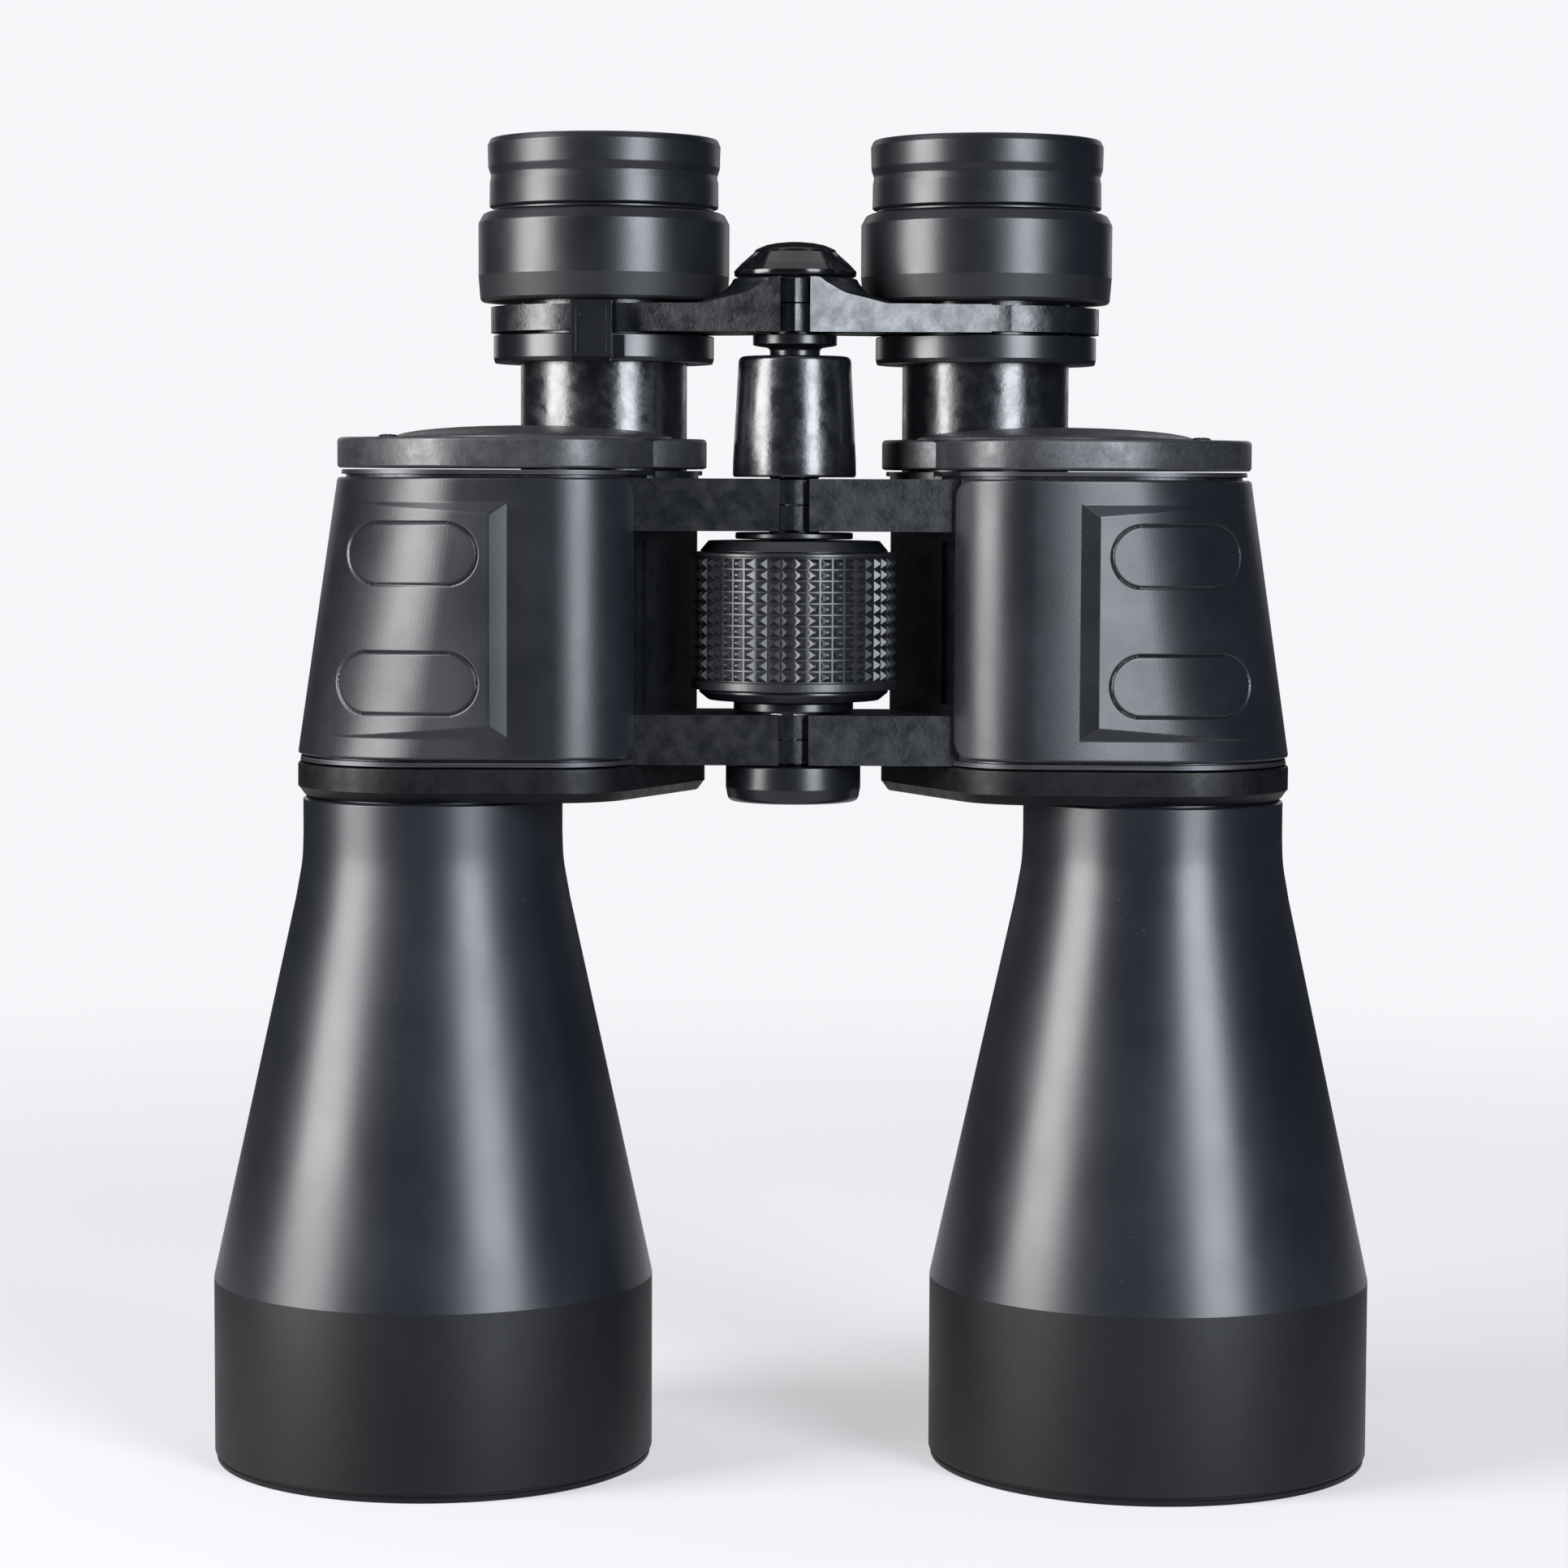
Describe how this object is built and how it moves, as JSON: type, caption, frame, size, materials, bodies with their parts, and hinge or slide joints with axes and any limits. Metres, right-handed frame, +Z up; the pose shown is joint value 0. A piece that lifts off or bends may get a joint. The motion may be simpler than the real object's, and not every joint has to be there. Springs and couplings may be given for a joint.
{
  "type": "zoom binoculars",
  "caption": "Large Porro-prism zoom binoculars with two long objective barrels, centre focus wheel, folding hinge, zoom lever and soft eyecups.",
  "frame": {"origin": "on the surface the binoculars stand on, below the central hinge axis", "axes": "+Z up along the optical axes, from objectives to eyepieces; X across the two barrels; -Y towards the side that faces up in use"},
  "size_m": [0.2136, 0.081, 0.2434],
  "materials": {
    "satin_black": "satin black paint",
    "rubber_skin": "matte black rubber armour",
    "cast_black": "fine-grained black paint on a casting",
    "gloss_black": "gloss black",
    "eyecup_rubber": "matte black rubber",
    "steel": "turned steel",
    "brass": "turned brass",
    "blackened_metal": "black anodised",
    "coated_glass": "coated optical glass",
    "prism_glass": "polished prism glass"
  },
  "bodies": {
    "left_body": {"prism_housing_L": "cast_black", "body_skin_L": "rubber_skin", "eyepiece_cover_L": "cast_black", "objective_cover_L": "cast_black", "prism_shelf_L": "blackened_metal", "prism_upper_L": "prism_glass", "prism_lower_L": "prism_glass", "cover_screw_L1": "blackened_metal", "cover_screw_L2": "blackened_metal", "objective_barrel_L": "satin_black", "objective_cell_L": "blackened_metal", "objective_ring_L": "blackened_metal", "objective_crown_lens_L": "coated_glass", "objective_flint_lens_L": "coated_glass", "hinge_axle_lower": "steel", "hinge_axle_upper": "steel", "tripod_bush": "brass", "focus_sleeve": "satin_black", "wheel_washer_lower": "blackened_metal", "wheel_washer_upper": "blackened_metal"},
    "right_body": {"prism_housing_R": "cast_black", "body_skin_R": "rubber_skin", "eyepiece_cover_R": "cast_black", "objective_cover_R": "cast_black", "prism_shelf_R": "blackened_metal", "prism_upper_R": "prism_glass", "prism_lower_R": "prism_glass", "cover_screw_R1": "blackened_metal", "cover_screw_R2": "blackened_metal", "objective_barrel_R": "satin_black", "objective_cell_R": "blackened_metal", "objective_ring_R": "blackened_metal", "objective_crown_lens_R": "coated_glass", "objective_flint_lens_R": "coated_glass"},
    "focus_wheel": {"focus_wheel_core": "satin_black", "focus_wheel_grip": "eyecup_rubber"},
    "focus_carriage": {"focus_screw": "steel", "bridge_arm_L": "cast_black", "bridge_cap": "gloss_black", "eyepiece_tube_L": "satin_black", "ocular_head_L": "satin_black", "eyecup_L": "eyecup_rubber", "eye_lens_L": "coated_glass", "field_lens_L": "coated_glass"},
    "right_bridge": {"bridge_arm_R": "cast_black", "eyepiece_tube_R": "satin_black", "field_lens_R": "coated_glass"},
    "zoom_ring_left": {"zoom_ring_L": "satin_black", "zoom_lever": "satin_black"},
    "zoom_ring_right": {"zoom_ring_R": "satin_black"},
    "zoom_group_left": {"zoom_cell_L": "blackened_metal", "zoom_lens_L": "coated_glass"},
    "zoom_group_right": {"zoom_cell_R": "blackened_metal", "zoom_lens_R": "coated_glass"},
    "diopter_head": {"ocular_head_R": "satin_black", "eyecup_R": "eyecup_rubber"},
    "diopter_lens": {"eye_lens_R": "coated_glass"},
    "tripod_plug": {"tripod_cap": "satin_black"}
  },
  "joints": [
    {"name": "interpupillary_hinge", "type": "hinge", "parent": "left_body", "child": "right_body", "pos_m": [0, 0, 0.155], "axis": [0, 0, 1], "range_deg": [0, 38]},
    {"name": "focus_wheel_turn", "type": "hinge", "parent": "left_body", "child": "focus_wheel", "pos_m": [0, 0, 0.155], "axis": [0, 0, 1], "range_deg": [-90, 450]},
    {"name": "focus_travel", "type": "slide", "parent": "left_body", "child": "focus_carriage", "axis": [0, 0, 1], "range_m": [-0.0016, 0.008]},
    {"name": "bridge_fold", "type": "hinge", "parent": "focus_carriage", "child": "right_bridge", "pos_m": [0, 0, 0.207], "axis": [0, 0, 1], "range_deg": [0, 38]},
    {"name": "zoom_lever_turn", "type": "hinge", "parent": "focus_carriage", "child": "zoom_ring_left", "pos_m": [-0.0354, 0.0107, 0.204], "axis": [0, 0, 1], "range_deg": [-120, 0]},
    {"name": "zoom_ring_right_turn", "type": "hinge", "parent": "right_bridge", "child": "zoom_ring_right", "pos_m": [0.0354, 0.0107, 0.204], "axis": [0, 0, 1], "range_deg": [-120, 0]},
    {"name": "zoom_group_left_slide", "type": "slide", "parent": "focus_carriage", "child": "zoom_group_left", "axis": [0, 0, 1], "range_m": [0, 0.008]},
    {"name": "zoom_group_right_slide", "type": "slide", "parent": "right_bridge", "child": "zoom_group_right", "axis": [0, 0, 1], "range_m": [0, 0.008]},
    {"name": "diopter_turn", "type": "hinge", "parent": "right_bridge", "child": "diopter_head", "pos_m": [0.0354, 0.0107, 0.22], "axis": [0, 0, 1], "range_deg": [-60, 60]},
    {"name": "diopter_lens_slide", "type": "slide", "parent": "right_bridge", "child": "diopter_lens", "axis": [0, 0, 1], "range_m": [-0.0015, 0.0015]},
    {"name": "tripod_cap_pull", "type": "slide", "parent": "left_body", "child": "tripod_plug", "axis": [0, 0, -1], "range_m": [0, 0.014]}
  ],
  "couplings": [
    {"joint": "focus_wheel_turn", "follows": "focus_travel", "rad_per_m": 981.75},
    {"joint": "bridge_fold", "follows": "interpupillary_hinge", "ratio": 1},
    {"joint": "zoom_lever_turn", "follows": "zoom_group_left_slide", "rad_per_m": -261.8},
    {"joint": "zoom_ring_right_turn", "follows": "zoom_group_left_slide", "rad_per_m": -261.8},
    {"joint": "zoom_group_right_slide", "follows": "zoom_group_left_slide", "ratio": 1},
    {"joint": "diopter_turn", "follows": "diopter_lens_slide", "rad_per_m": 698.13}
  ]
}
